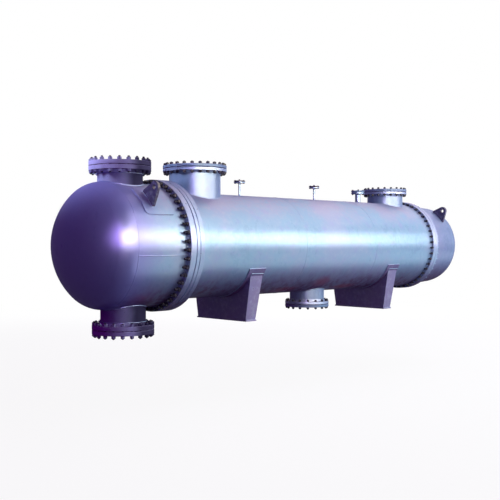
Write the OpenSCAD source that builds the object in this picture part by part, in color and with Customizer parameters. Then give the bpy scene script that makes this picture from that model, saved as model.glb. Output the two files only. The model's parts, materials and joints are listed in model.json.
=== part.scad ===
// Horizontal tubular heat exchanger on two saddles.
// Frame: X runs along the vessel towards the rear cover, Z is up, and the origin
// is the centre of the underside of the front saddle's base plate.

/* [Shell] */
// Outside diameter of the shell
shell_od = 1224; // [1000:4:1600]
// Plate thickness of the shell and the rear cover
shell_wall = 12; // [8:1:20]
// Length of the shell between the joint faces of its end flanges
shell_len = 4585; // [3800:5:6500]
// Height of the bottom of the shell above the underside of the saddles
shell_clearance = 280; // [200:2:420]

/* [Channel] */
// How much wider the channel is than the shell
channel_extra = 136; // [100:2:200]
// Plate thickness of the channel
channel_wall = 14; // [10:1:24]
// Length of the channel's straight barrel
channel_len = 714; // [710:2:1100]
// Depth of the channel's dished head, as a share of the channel's radius
channel_head_share = 0.7; // [0.58:0.01:0.85]
// Knuckle radius of that head, as a share of the channel's radius
channel_knuckle_share = 0.44; // [0.3:0.01:0.48]

/* [Girth flanges] */
// Radial width of the front girth flanges outside the channel
front_flange_margin = 55; // [50:1:100]
// Distance from the rim of the front girth flanges to the circle of their studs
front_stud_margin = 26; // [24:1:36]
// Thickness of the channel's girth flange with its gasket face
channel_flange_t = 80; // [50:2:100]
// Thickness of the tubesheet between its joint faces
tubesheet_t = 50; // [40:2:100]
// Thickness of the shell's front girth flange
shell_flange_t = 60; // [50:2:100]
// Length of the hub behind the shell's front girth flange
girth_hub_len = 70; // [40:2:110]
// Rise of that hub above the shell at the flange
girth_hub_rise = 34; // [10:1:40]
// Number of studs in the front girth joint
front_studs = 48; // [32:4:56]
// Hole for a front girth stud in the channel's flange and the tubesheet
front_stud_hole = 30; // [22:1:36]
// Tapped hole for that stud in the shell's flange
front_tapped_hole = 27; // [20:1:36]
// Radial width of the rear girth flanges outside the shell
rear_flange_margin = 38; // [36:1:70]
// Distance from the rim of the rear girth flanges to the circle of their studs
rear_stud_margin = 19; // [17:1:22]
// Thickness of each rear girth flange
rear_flange_t = 60; // [40:2:90]
// Number of studs in the rear girth joint
rear_studs = 48; // [28:4:56]
// Hole for a rear girth stud
rear_stud_hole = 22; // [18:1:24]
// Rise of every gasket face above its flange
face_rise = 3; // [2:0.5:5]
// Chamfer on the rims of the girth flanges
girth_chamfer = 4; // [2:0.5:6]

/* [Rear cover] */
// Length of the rear cover's tapered barrel behind its flange
cover_taper_len = 515; // [480:5:700]
// Drop in radius along the tapered barrel
cover_taper_drop = 42; // [20:1:60]
// Depth of the rear cover's dished head, as a share of its radius
cover_head_share = 0.5; // [0.44:0.01:0.7]
// Knuckle radius of that head, as a share of its radius
cover_knuckle_share = 0.34; // [0.25:0.01:0.4]

/* [Channel nozzles] */
// Distance of the upper channel nozzle from the channel's joint face
channel_top_x = 469; // [434:1:472]
// Distance of the lower channel nozzle from the channel's joint face
channel_bottom_x = 434; // [420:1:472]
// Distance from the channel's surface to the upper nozzle's gasket face
channel_top_reach = 174; // [150:1:400]
// Distance from the channel's surface to the lower nozzle's gasket face
channel_bottom_reach = 219; // [150:1:400]
// Outside diameter of a channel nozzle's neck
channel_neck_od = 490; // [400:2:510]
// Wall of a channel nozzle's neck
channel_neck_wall = 14; // [9:1:20]
// Outside diameter of a channel nozzle's flange
channel_nozzle_flange_od = 670; // [650:5:700]
// Thickness of a channel nozzle's flange and of its blind cover
channel_nozzle_flange_t = 46; // [30:1:60]
// Distance from that flange's rim to its bolt circle
channel_nozzle_bolt_margin = 25; // [22:0.5:28]
// Bolt hole in a channel nozzle's flange
channel_nozzle_hole = 26; // [20:1:28]
// Number of bolts in a channel nozzle's flange
channel_nozzle_bolts = 20; // [12:4:24]
// Length of the hub behind a channel nozzle's flange
channel_nozzle_hub_len = 34; // [16:1:40]
// Rise of that hub above the neck
channel_nozzle_hub_rise = 18; // [6:1:22]
// Diameter of a channel nozzle's studs
channel_stud_d = 24; // [12:1:24]
// Width across the flats of their nuts
channel_nut_w = 41; // [18:1:41]
// Height of such a nut with its washer
channel_nut_h = 27; // [12:1:32]
// Length of stud that stands out of its outer nut on the upper nozzle
channel_top_stud_end = 16; // [4:1:24]
// Length of stud that stands out of its outer nut on the lower nozzle
channel_bottom_stud_end = 11; // [4:1:24]
// Length of stud that stands out of every inner nut
channel_inner_stud_end = 8; // [4:1:16]

/* [Front top nozzle] */
// Distance of the nozzle from the front saddle's centre, towards the channel
front_nozzle_x = 486; // [460:2:520]
// Distance from the shell's surface to the nozzle's gasket face
front_nozzle_reach = 280; // [200:1:500]
// Outside diameter of the nozzle's neck
front_neck_od = 600; // [500:2:620]
// Wall of the nozzle's neck
front_neck_wall = 12; // [8:1:18]
// Outside diameter of the nozzle's flange
front_nozzle_flange_od = 745; // [740:5:790]
// Thickness of the flange and of its blind cover
front_nozzle_flange_t = 34; // [26:1:48]
// Distance from the flange's rim to its bolt circle
front_nozzle_bolt_margin = 25; // [22:0.5:28]
// Bolt hole in the flange
front_nozzle_hole = 26; // [20:1:28]
// Number of bolts in the flange
front_nozzle_bolts = 24; // [16:4:28]
// Length of the hub behind the flange
front_nozzle_hub_len = 20; // [10:1:40]
// Rise of that hub above the neck
front_nozzle_hub_rise = 8; // [4:1:14]

/* [Bottom nozzle] */
// Distance of the nozzle from the rear saddle's centre, towards the channel
bottom_nozzle_x = 1193; // [900:1:1300]
// Distance from the shell's surface to the nozzle's gasket face
bottom_nozzle_reach = 165; // [130:1:230]
// Outside diameter of the nozzle's neck
bottom_neck_od = 457; // [360:1:470]
// Wall of the nozzle's neck
bottom_neck_wall = 11; // [8:1:18]
// Outside diameter of the nozzle's flange
bottom_nozzle_flange_od = 580; // [580:5:640]
// Thickness of the flange and of its blind cover
bottom_nozzle_flange_t = 34; // [26:1:44]
// Distance from the flange's rim to its bolt circle
bottom_nozzle_bolt_margin = 22.5; // [20:0.5:26]
// Bolt hole in the flange
bottom_nozzle_hole = 22; // [18:1:26]
// Number of bolts in the flange
bottom_nozzle_bolts = 16; // [12:4:24]

/* [Rear top nozzle] */
// Distance of the nozzle from the rear saddle's centre, towards the rear cover
rear_nozzle_x = 541; // [440:1:560]
// Distance from the shell's surface to the nozzle's gasket face
rear_nozzle_reach = 168; // [130:1:400]
// Outside diameter of the nozzle's neck
rear_neck_od = 514; // [400:2:520]
// Wall of the nozzle's neck
rear_neck_wall = 12; // [8:1:18]
// Outside diameter of the nozzle's flange
rear_nozzle_flange_od = 630; // [630:5:680]
// Thickness of the flange and of its blind cover
rear_nozzle_flange_t = 34; // [26:1:44]
// Distance from the flange's rim to its bolt circle
rear_nozzle_bolt_margin = 22.5; // [20:0.5:26]
// Bolt hole in the flange
rear_nozzle_hole = 22; // [18:1:26]
// Number of bolts in the flange
rear_nozzle_bolts = 20; // [12:4:24]
// Length of the hub behind the bottom nozzle's and the rear nozzle's flanges
shell_nozzle_hub_len = 30; // [10:1:40]
// Rise of those hubs above their necks
shell_nozzle_hub_rise = 12; // [4:1:14]
// Chamfer on the rims of the nozzle flanges and their covers
nozzle_chamfer = 2.5; // [1:0.5:4]
// Turn of the bolt holes in these nozzles from the vessel's middle plane, as a share of their spacing
nozzle_turn = 0; // [0:0.5:0.5]

/* [Small connections] */
// Distance of the front vent from the front saddle's centre, towards the rear
front_vent_x = 230; // [0:2:400]
// Distance of the middle vent from the rear saddle's centre, towards the channel
middle_vent_x = 1043; // [900:1:1300]
// Distance from the shell's surface to the vents' gasket faces
vent_reach = 170; // [120:1:300]
// Outside diameter of a vent's pipe
vent_od = 27; // [26:1:42]
// Wall of a vent's pipe
vent_wall = 3; // [2:0.5:6]
// Outside diameter of a vent's flange
vent_flange_od = 140; // [110:2:150]
// Thickness of a vent's flange and of its cap
vent_flange_t = 12; // [10:1:24]
// Distance from that flange's rim to its bolt circle
vent_bolt_margin = 17.5; // [15:0.5:20]
// Bolt hole in a vent's flange
vent_hole = 14; // [12:1:20]
// Diameter of the plug on a vent's cap
vent_plug_d = 20; // [12:1:30]
// Height of that plug
vent_plug_h = 16; // [6:1:30]
// Distance of the relief connection from the rear saddle's centre, towards the channel
relief_x = 102; // [60:2:180]
// Distance from the shell's surface to the relief connection's gasket face
relief_reach = 142; // [110:1:300]
// Outside diameter of the relief connection's pipe
relief_od = 76; // [60:1:90]
// Wall of the relief connection's pipe
relief_wall = 5; // [3:0.5:8]
// Outside diameter of the relief connection's flange
relief_flange_od = 185; // [175:1:200]
// Thickness of that flange and of its cap
relief_flange_t = 20; // [12:1:26]
// Distance from that flange's rim to its bolt circle
relief_bolt_margin = 20; // [17:0.5:22]
// Bolt hole in that flange
relief_hole = 18; // [12:1:20]
// Number of bolts in each small flange
small_bolts = 4; // [4:4:8]
// Length of the hubs behind the small flanges
small_hub_len = 12; // [6:1:20]
// Rise of those hubs above their pipes
small_hub_rise = 5; // [2:1:7]

/* [Saddles] */
// Distance of the front saddle's centre from the shell's front joint face
front_saddle_x = 1020; // [960:5:1100]
// Distance of the rear saddle's centre from the shell's rear joint face
rear_saddle_x = 909; // [850:1:1000]
// Length of a saddle's base plate, across the vessel
base_len = 880; // [820:10:1000]
// Width of a saddle's base plate, along the vessel
base_w = 170; // [150:5:240]
// Thickness of a saddle's base plate
base_t = 16; // [12:1:30]
// Thickness of a saddle's web and ribs
rib_t = 12; // [8:1:20]
// How much wider a saddle's outer rib is at its top than at its foot
rib_flare = 40; // [0:2:50]
// Distance of a saddle's inner ribs from its middle plane
inner_rib_y = 147; // [100:1:220]
// Angle from the bottom of the vessel at which a saddle's outer ribs meet it
side_angle = 58; // [50:1:60]
// Width of a saddle's wrapper plate, along the vessel
wrapper_w = 260; // [240:10:360]
// Thickness of a saddle's wrapper plate
wrapper_t = 12; // [8:1:20]
// Half of the angle that a wrapper plate covers, from the bottom
wrapper_half_angle = 64; // [62:1:72]
// Distance between a saddle's two anchor bolts
anchor_spacing = 720; // [640:10:740]
// Hole for an anchor bolt
anchor_hole = 27; // [20:1:34]
// End-to-end length of the rear saddle's slots
anchor_slot = 60; // [40:2:80]
// Telltale hole in each wrapper plate and lug pad
telltale = 8; // [6:1:12]
// Distance of a telltale hole from the edge of its plate
telltale_margin = 24; // [16:1:36]

/* [Lifting lugs] */
// Distance of the front lugs from the channel's joint face
front_lug_back = 452; // [440:2:500]
// Angle of the front lugs from the crown
front_lug_angle = 45; // [43:1:50]
// Height of a front lug's eye above its pad
front_lug_eye_height = 160; // [110:2:180]
// Distance of the rear lugs from the start of the rear cover's taper
rear_lug_back = 372; // [200:2:440]
// Angle of the rear lugs from the crown
rear_lug_angle = 43; // [36:1:50]
// Height of a rear lug's eye above the cover
rear_lug_eye_height = 118; // [100:2:180]
// Width of a lug at its foot
lug_w = 230; // [180:5:260]
// Height of the straight foot of a lug
lug_foot = 20; // [10:1:30]
// Diameter of a lug's eye
lug_eye = 50; // [36:1:60]
// Width of the metal round a lug's eye
lug_eye_margin = 37; // [25:1:40]
// Thickness of a lug
lug_t = 32; // [20:1:50]
// Thickness of the curved pad under a front lug
pad_t = 12; // [8:1:20]
// Distance from a front lug to the edge of its pad, towards the head
pad_ahead = 120; // [60:5:160]
// Distance from a front lug to the edge of its pad, towards the girth joint
pad_behind = 260; // [100:5:280]
// Width of that pad, across its middle
pad_w = 404; // [300:2:420]
// Corner radius of that pad
pad_corner = 50; // [20:5:80]

/* [Hidden] */
$fn = 96;
// How far a cutting shape runs past what it cuts
cut = 2;
// Sides of a nut
hex = 6;
paint = "#9fa3c6";
dark_paint = "#5c5a86";

shell_r = shell_od / 2;
channel_r = (shell_od + channel_extra) / 2;
axis_height = shell_r + shell_clearance;
saddle_pitch = shell_len - front_saddle_x - rear_saddle_x;

// Stations along the vessel, from the rear of the channel to the rear cover
shell_start = -front_saddle_x;
channel_end = shell_start - tubesheet_t;
channel_start = channel_end - channel_len;
shell_end = shell_start + shell_len;
taper_start = shell_end + face_rise + rear_flange_t;
taper_end = taper_start + cover_taper_len;
cover_small_r = shell_r - cover_taper_drop;

front_flange_r = channel_r + front_flange_margin;
front_stud_r = front_flange_r - front_stud_margin;
rear_flange_r = shell_r + rear_flange_margin;
rear_stud_r = rear_flange_r - rear_stud_margin;

// Where a saddle's outer ribs and web stand
wrapper_r = shell_r + wrapper_t;
side_foot = base_len / 2 - rib_t;
side_top_y = shell_r * sin(side_angle);
side_top_z = axis_height - shell_r * cos(side_angle);
web_x = rib_t - base_w / 2;

front_lug_x = channel_end - front_lug_back;
rear_lug_x = taper_start + rear_lug_back;
rear_lug_r = shell_r - cover_taper_drop * rear_lug_back / cover_taper_len;
lug_head_r = lug_eye / 2 + lug_eye_margin;

// A nozzle is a list, and these functions read its values
function station(n) = n[0];
function side(n) = n[1];
function vessel_r(n) = n[2];
function gasket_face(n) = n[2] + n[3];
function neck_r(n) = n[4] / 2;
function bore_r(n) = n[4] / 2 - n[5];
function flange_r(n) = n[6] / 2;
function flange_t(n) = n[7];
function bolt_circle_r(n) = n[6] / 2 - n[8];
function hole_r(n) = n[9] / 2;
function bolts(n) = n[10];
function hub_len(n) = n[11];
function hub_rise(n) = n[12];
function hole_turn(n) = n[13];
function flange_back(n) = gasket_face(n) - face_rise - flange_t(n);
function raised_r(n) = bolt_circle_r(n) - hole_r(n) - face_rise;

up = 1;
down = -1;
// Turn of holes that straddle the vessel's middle plane
straddle = 0.5;
channel_top = [channel_end - channel_top_x, up, channel_r, channel_top_reach,
    channel_neck_od, channel_neck_wall, channel_nozzle_flange_od, channel_nozzle_flange_t,
    channel_nozzle_bolt_margin, channel_nozzle_hole, channel_nozzle_bolts,
    channel_nozzle_hub_len, channel_nozzle_hub_rise, nozzle_turn];
channel_bottom = [channel_end - channel_bottom_x, down, channel_r, channel_bottom_reach,
    channel_neck_od, channel_neck_wall, channel_nozzle_flange_od, channel_nozzle_flange_t,
    channel_nozzle_bolt_margin, channel_nozzle_hole, channel_nozzle_bolts,
    channel_nozzle_hub_len, channel_nozzle_hub_rise, nozzle_turn];
front_top = [-front_nozzle_x, up, shell_r, front_nozzle_reach,
    front_neck_od, front_neck_wall, front_nozzle_flange_od, front_nozzle_flange_t,
    front_nozzle_bolt_margin, front_nozzle_hole, front_nozzle_bolts,
    front_nozzle_hub_len, front_nozzle_hub_rise, nozzle_turn];
bottom = [saddle_pitch - bottom_nozzle_x, down, shell_r, bottom_nozzle_reach,
    bottom_neck_od, bottom_neck_wall, bottom_nozzle_flange_od, bottom_nozzle_flange_t,
    bottom_nozzle_bolt_margin, bottom_nozzle_hole, bottom_nozzle_bolts,
    shell_nozzle_hub_len, shell_nozzle_hub_rise, nozzle_turn];
rear_top = [saddle_pitch + rear_nozzle_x, up, shell_r, rear_nozzle_reach,
    rear_neck_od, rear_neck_wall, rear_nozzle_flange_od, rear_nozzle_flange_t,
    rear_nozzle_bolt_margin, rear_nozzle_hole, rear_nozzle_bolts,
    shell_nozzle_hub_len, shell_nozzle_hub_rise, nozzle_turn];
front_vent_at = [front_vent_x, up, shell_r, vent_reach,
    vent_od, vent_wall, vent_flange_od, vent_flange_t,
    vent_bolt_margin, vent_hole, small_bolts, small_hub_len, small_hub_rise, straddle];
middle_vent_at = [saddle_pitch - middle_vent_x, up, shell_r, vent_reach,
    vent_od, vent_wall, vent_flange_od, vent_flange_t,
    vent_bolt_margin, vent_hole, small_bolts, small_hub_len, small_hub_rise, straddle];
relief_at = [saddle_pitch - relief_x, up, shell_r, relief_reach,
    relief_od, relief_wall, relief_flange_od, relief_flange_t,
    relief_bolt_margin, relief_hole, small_bolts, small_hub_len, small_hub_rise, straddle];
channel_nozzles = [channel_top, channel_bottom];
shell_nozzles = [front_top, bottom, rear_top, front_vent_at, middle_vent_at, relief_at];

// Places a shape that stands on Z along the vessel's axis, from station x towards the rear
module along(x) translate([x, 0, axis_height]) rotate([0, 90, 0]) children();

// Places a shape that stands on Z along a nozzle, from the vessel's axis outwards
module outward(n)
    translate([station(n), 0, axis_height]) rotate([side(n) == up ? 0 : 180, 0, 0]) children();

// Places a shape that stands on Z at an angle from the crown, from the vessel's axis outwards
module radial(x, angle) translate([x, 0, axis_height]) rotate([angle, 0, 0]) children();

// A solid cylinder about the vessel's axis between two stations
module core(x0, x1, r) along(x0) cylinder(h = x1 - x0, r = r);

// Round holes on a circle about Z
module hole_circle(count, turn, circle_r, r, z0, z1)
    for (i = [0 : count - 1])
        rotate([0, 0, (i + turn) * 360 / count]) translate([circle_r, 0, z0]) cylinder(h = z1 - z0, r = r);

// Half outline of a dished head: a spherical crown that runs tangentially into a knuckle
module head_outline(r, depth, knuckle) {
    a = r - knuckle;
    crown = (depth * depth + a * a - knuckle * knuckle) / (2 * (depth - knuckle));
    centre = depth - crown;
    slope = atan2(a, -centre);
    far = 2 * crown;
    intersection() {
        translate([0, centre]) circle(r = crown);
        polygon([[0, 0], [a, 0], [a + far * sin(slope), far * cos(slope)], [0, far]]);
    }
    intersection() {
        translate([a, 0]) circle(r = knuckle);
        polygon([[a, 0], [a + far, 0], [a + far, far], [a + far * sin(slope), far * cos(slope)]]);
    }
}

// A dished head of even thickness, its rim on Z = 0 and its crown up
module dished_head(r, depth, knuckle, wall)
    rotate_extrude() difference() {
        head_outline(r, depth, knuckle);
        head_outline(r - wall, depth - wall, knuckle - wall);
    }

// The openings that a list of nozzles makes in the plate under them
module openings(nozzles)
    for (n = nozzles)
        outward(n) cylinder(h = vessel_r(n) + cut, r = bore_r(n));

// Half outline of a ring with chamfered rims, between two heights
module ring_outline(r_in, r_out, z0, z1, chamfer)
    polygon([
        [r_in, z0], [r_out - chamfer, z0], [r_out, z0 + chamfer],
        [r_out, z1 - chamfer], [r_out - chamfer, z1], [r_in, z1]
    ]);

// A girth flange between two stations, with holes for its studs
module girth_ring(x0, x1, r_in, r_out, count, stud_r, hole)
    along(x0) difference() {
        rotate_extrude() ring_outline(r_in, r_out, 0, x1 - x0, girth_chamfer);
        hole_circle(count, straddle, stud_r, hole / 2, -cut, x1 - x0 + cut);
    }

// A nozzle's neck, shaped at its foot to sit on the vessel
module neck(n)
    difference() {
        outward(n) difference() {
            cylinder(h = flange_back(n) - hub_len(n), r = neck_r(n));
            translate([0, 0, -cut]) cylinder(h = gasket_face(n), r = bore_r(n));
        }
        core(station(n) - 2 * neck_r(n), station(n) + 2 * neck_r(n), vessel_r(n));
    }

// A nozzle's flange with its hub and raised gasket face
module hub_flange(n) {
    face = gasket_face(n);
    back = flange_back(n);
    outward(n) difference() {
        rotate_extrude() polygon([
            [bore_r(n), back - hub_len(n)], [neck_r(n), back - hub_len(n)],
            [neck_r(n) + hub_rise(n), back], [flange_r(n) - nozzle_chamfer, back],
            [flange_r(n), back + nozzle_chamfer], [flange_r(n), face - face_rise - nozzle_chamfer],
            [flange_r(n) - nozzle_chamfer, face - face_rise], [raised_r(n), face - face_rise],
            [raised_r(n), face], [bore_r(n), face]
        ]);
        hole_circle(bolts(n), hole_turn(n), bolt_circle_r(n), hole_r(n), back - cut, face);
    }
}

// The blind cover bolted on a nozzle's flange
module blind(n) {
    face = gasket_face(n);
    lower = face + face_rise;
    upper = lower + flange_t(n);
    outward(n) difference() {
        rotate_extrude() polygon([
            [0, face], [raised_r(n), face], [raised_r(n), lower],
            [flange_r(n) - nozzle_chamfer, lower], [flange_r(n), lower + nozzle_chamfer],
            [flange_r(n), upper - nozzle_chamfer], [flange_r(n) - nozzle_chamfer, upper], [0, upper]
        ]);
        hole_circle(bolts(n), hole_turn(n), bolt_circle_r(n), hole_r(n), face, upper + cut);
    }
}

// Studs through a nozzle's flange and its blind cover, each with a nut at both ends
module nozzle_studs(n, outer_end)
    outward(n) for (i = [0 : bolts(n) - 1]) {
        inner = flange_back(n);
        outer = gasket_face(n) + face_rise + flange_t(n);
        low = inner - channel_nut_h - channel_inner_stud_end;
        high = outer + channel_nut_h + outer_end;
        corner_r = channel_nut_w / 2 / cos(180 / hex);
        rotate([0, 0, (i + hole_turn(n)) * 360 / bolts(n)]) translate([bolt_circle_r(n), 0, 0]) union() {
            translate([0, 0, low]) cylinder(h = high - low, r = channel_stud_d / 2);
            translate([0, 0, inner - channel_nut_h]) cylinder(h = channel_nut_h, r = corner_r, $fn = hex);
            translate([0, 0, outer]) cylinder(h = channel_nut_h, r = corner_r, $fn = hex);
        }
    }

// A curved plate on the vessel, centred at an angle from the crown
module curved_plate(x0, x1, r, t, middle, half) {
    far = 2 * r;
    along(x0) intersection() {
        difference() {
            cylinder(h = x1 - x0, r = r + t);
            translate([0, 0, -cut]) cylinder(h = x1 - x0 + 2 * cut, r = r);
        }
        translate([0, 0, -cut]) linear_extrude(x1 - x0 + 2 * cut)
            rotate(180 - middle) polygon([[0, 0], [far, -far * tan(half)], [far, far * tan(half)]]);
    }
}

// A rectangle with round corners, between two values of X and centred on Y = 0
module rounded(x0, x1, w, corner) {
    translate([x0, corner - w / 2]) square([x1 - x0, w - 2 * corner]);
    translate([x0 + corner, -w / 2]) square([x1 - x0 - 2 * corner, w]);
    for (x = [x0 + corner, x1 - corner])
        for (y = [corner - w / 2, w / 2 - corner])
            translate([x, y]) circle(r = corner);
}

// Plates of a saddle, in the plane across the vessel
module saddle_plate(x0, x1, outline)
    difference() {
        translate([x0, 0, 0]) rotate([90, 0, 90]) linear_extrude(x1 - x0) polygon(outline);
        core(x0 - cut, x1 + cut, wrapper_r);
    }

module saddle_base(x, slot)
    difference() {
        translate([x - base_w / 2, -base_len / 2, 0]) cube([base_w, base_len, base_t]);
        for (side = [-1, 1]) translate([x, side * anchor_spacing / 2, -cut]) {
            reach = slot / 2 - anchor_hole / 2;
            for (end = [-1, 1]) translate([end * reach, 0, 0])
                cylinder(h = base_t + 2 * cut, r = anchor_hole / 2);
            if (reach > 0) translate([-reach, -anchor_hole / 2, 0])
                cube([2 * reach, anchor_hole, base_t + 2 * cut]);
        }
    }

module saddle_web(x)
    saddle_plate(x + web_x - rib_t / 2, x + web_x + rib_t / 2,
        [[-side_foot, base_t], [side_foot, base_t], [side_top_y, side_top_z], [-side_top_y, side_top_z]]);

module saddle_ribs(x) {
    x0 = x + web_x + rib_t / 2;
    x1 = x + base_w / 2 - rib_t / 2;
    for (side = [-1, 1]) {
        intersection() {
            saddle_plate(x0, x1 + rib_flare, [
                [side * (side_foot - rib_t), base_t], [side * side_foot, base_t],
                [side * side_top_y, side_top_z], [side * (side_top_y - rib_t), side_top_z]
            ]);
            translate([0, base_len, 0]) rotate([90, 0, 0]) linear_extrude(2 * base_len)
                polygon([[x0, base_t], [x1, base_t], [x1 + rib_flare, side_top_z], [x0, side_top_z]]);
        }
        saddle_plate(x0, x1, [
            [side * (inner_rib_y - rib_t / 2), base_t], [side * (inner_rib_y + rib_t / 2), base_t],
            [side * (inner_rib_y + rib_t / 2), axis_height], [side * (inner_rib_y - rib_t / 2), axis_height]
        ]);
    }
}

module saddle_wrapper(x)
    difference() {
        curved_plate(x - wrapper_w / 2, x + wrapper_w / 2, shell_r, wrapper_t, 180, wrapper_half_angle);
        radial(x + wrapper_w / 2 - telltale_margin, 180)
            translate([0, 0, shell_r - cut]) cylinder(h = wrapper_t + 2 * cut, r = telltale / 2);
    }

// The tapered outside of the rear cover
module cover_taper() {
    core(shell_end, taper_start, shell_r);
    along(taper_start) cylinder(h = cover_taper_len, r1 = shell_r, r2 = cover_small_r);
}

// Outline of a lug: straight sides that run tangentially into the round head
module lug_outline(eye_height) {
    foot = [lug_w / 2, lug_foot];
    centre = [0, eye_height];
    lean = acos(lug_head_r / norm(foot - centre)) - atan2(eye_height - lug_foot, lug_w / 2);
    touch = [lug_head_r * cos(lean), eye_height + lug_head_r * sin(lean)];
    sink = lug_w / 4;
    difference() {
        union() {
            polygon([
                [-foot[0], -sink], [foot[0], -sink], foot,
                touch, [-touch[0], touch[1]], [-foot[0], foot[1]]
            ]);
            translate(centre) circle(r = lug_head_r);
        }
        translate(centre) circle(r = lug_eye / 2);
    }
}

// A lifting lug that stands radially, its foot at radius r
module lug(x, r, angle, eye_height)
    radial(x - lug_t / 2, angle) translate([0, 0, r])
        rotate([90, 0, 90]) linear_extrude(lug_t) lug_outline(eye_height);

module channel_head() color(paint)
    translate([channel_start, 0, axis_height]) rotate([0, -90, 0])
        dished_head(channel_r, channel_r * channel_head_share,
            channel_r * channel_knuckle_share, channel_wall);

module channel_barrel() color(paint)
    difference() {
        core(channel_start, channel_end, channel_r);
        core(channel_start - cut, channel_end + cut, channel_r - channel_wall);
        openings(channel_nozzles);
    }

module channel_flange() color(paint)
    girth_ring(channel_end - channel_flange_t, channel_end - face_rise, channel_r, front_flange_r,
        front_studs, front_stud_r, front_stud_hole);

module tubesheet() color(paint) {
    raised = front_stud_r - front_stud_hole / 2 - face_rise;
    along(channel_end) difference() {
        rotate_extrude() {
            ring_outline(0, front_flange_r, face_rise, tubesheet_t - face_rise, girth_chamfer);
            square([raised, tubesheet_t]);
        }
        hole_circle(front_studs, straddle, front_stud_r, front_stud_hole / 2, -cut, tubesheet_t + cut);
    }
}

module shell_front_flange() color(paint)
    along(shell_start) difference() {
        rotate_extrude() {
            ring_outline(shell_r, front_flange_r, 0, shell_flange_t, girth_chamfer);
            polygon([
                [shell_r, 0], [shell_r + girth_hub_rise, 0],
                [shell_r + girth_hub_rise, shell_flange_t],
                [shell_r + face_rise, shell_flange_t + girth_hub_len],
                [shell_r, shell_flange_t + girth_hub_len]
            ]);
        }
        hole_circle(front_studs, straddle, front_stud_r, front_tapped_hole / 2, -cut, shell_flange_t + cut);
    }

module shell_barrel() color(paint)
    difference() {
        core(shell_start, shell_end, shell_r);
        core(shell_start - cut, shell_end + cut, shell_r - shell_wall);
        openings(shell_nozzles);
    }

module shell_rear_flange() color(paint)
    girth_ring(shell_end - rear_flange_t, shell_end, shell_r, rear_flange_r,
        rear_studs, rear_stud_r, rear_stud_hole);

module cover_flange() color(paint)
    girth_ring(shell_end + face_rise, taper_start, shell_r, rear_flange_r,
        rear_studs, rear_stud_r, rear_stud_hole);

module cover_barrel() color(paint)
    difference() {
        cover_taper();
        core(shell_end - cut, taper_start, shell_r - shell_wall);
        along(taper_start)
            cylinder(h = cover_taper_len, r1 = shell_r - shell_wall, r2 = cover_small_r - shell_wall);
    }

module cover_head() color(paint)
    along(taper_end)
        dished_head(cover_small_r, cover_small_r * cover_head_share,
            cover_small_r * cover_knuckle_share, shell_wall);

module channel_top_neck() color(paint) neck(channel_top);
module channel_top_flange() color(paint) hub_flange(channel_top);
module channel_top_blind() color(dark_paint) blind(channel_top);
module channel_top_studs() color(dark_paint) nozzle_studs(channel_top, channel_top_stud_end);
module channel_bottom_neck() color(paint) neck(channel_bottom);
module channel_bottom_flange() color(paint) hub_flange(channel_bottom);
module channel_bottom_blind() color(dark_paint) blind(channel_bottom);
module channel_bottom_studs() color(dark_paint) nozzle_studs(channel_bottom, channel_bottom_stud_end);
module front_top_neck() color(paint) neck(front_top);
module front_top_flange() color(paint) hub_flange(front_top);
module front_top_blind() color(dark_paint) blind(front_top);
module bottom_neck() color(paint) neck(bottom);
module bottom_flange() color(paint) hub_flange(bottom);
module bottom_blind() color(dark_paint) blind(bottom);
module rear_top_neck() color(paint) neck(rear_top);
module rear_top_flange() color(paint) hub_flange(rear_top);
module rear_top_blind() color(dark_paint) blind(rear_top);

// A small connection is a pipe welded into its flange
module small_connection(n) {
    neck(n);
    hub_flange(n);
}

// A vent's cap has a threaded plug in its middle
module vent_cap(n) {
    blind(n);
    outward(n) translate([0, 0, gasket_face(n) + face_rise + flange_t(n)])
        cylinder(h = vent_plug_h, r = vent_plug_d / 2);
}

module front_vent() color(paint) small_connection(front_vent_at);
module front_vent_cap() color(dark_paint) vent_cap(front_vent_at);
module middle_vent() color(paint) small_connection(middle_vent_at);
module middle_vent_cap() color(dark_paint) vent_cap(middle_vent_at);
module relief_pipe() color(paint) small_connection(relief_at);
module relief_cap() color(dark_paint) blind(relief_at);

module front_saddle_base() color(dark_paint) saddle_base(0, anchor_hole);
module front_saddle_web() color(dark_paint) saddle_web(0);
module front_saddle_ribs() color(dark_paint) saddle_ribs(0);
module front_saddle_wrapper() color(paint) saddle_wrapper(0);
module rear_saddle_base() color(dark_paint) saddle_base(saddle_pitch, anchor_slot);
module rear_saddle_web() color(dark_paint) saddle_web(saddle_pitch);
module rear_saddle_ribs() color(dark_paint) saddle_ribs(saddle_pitch);
module rear_saddle_wrapper() color(paint) saddle_wrapper(saddle_pitch);

module front_lug_pads() color(paint)
    for (side = [-1, 1]) difference() {
        radial(front_lug_x, side * front_lug_angle) linear_extrude(channel_r + 2 * pad_t) difference() {
            rounded(-pad_ahead, pad_behind, pad_w, pad_corner);
            translate([pad_behind - telltale_margin, 0]) circle(r = telltale / 2);
        }
        difference() {
            core(front_lug_x - pad_ahead - cut, front_lug_x + pad_behind + cut, channel_r + 2 * pad_w);
            core(front_lug_x - pad_ahead - 2 * cut, front_lug_x + pad_behind + 2 * cut, channel_r + pad_t);
        }
        core(front_lug_x - pad_ahead - cut, front_lug_x + pad_behind + cut, channel_r);
    }

module front_lugs() color(dark_paint)
    difference() {
        for (side = [-1, 1])
            lug(front_lug_x, channel_r + pad_t, side * front_lug_angle, front_lug_eye_height);
        core(front_lug_x - lug_t, front_lug_x + lug_t, channel_r + pad_t);
    }

module rear_lugs() color(dark_paint)
    difference() {
        for (side = [-1, 1])
            lug(rear_lug_x, rear_lug_r, side * rear_lug_angle, rear_lug_eye_height);
        cover_taper();
    }

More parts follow.
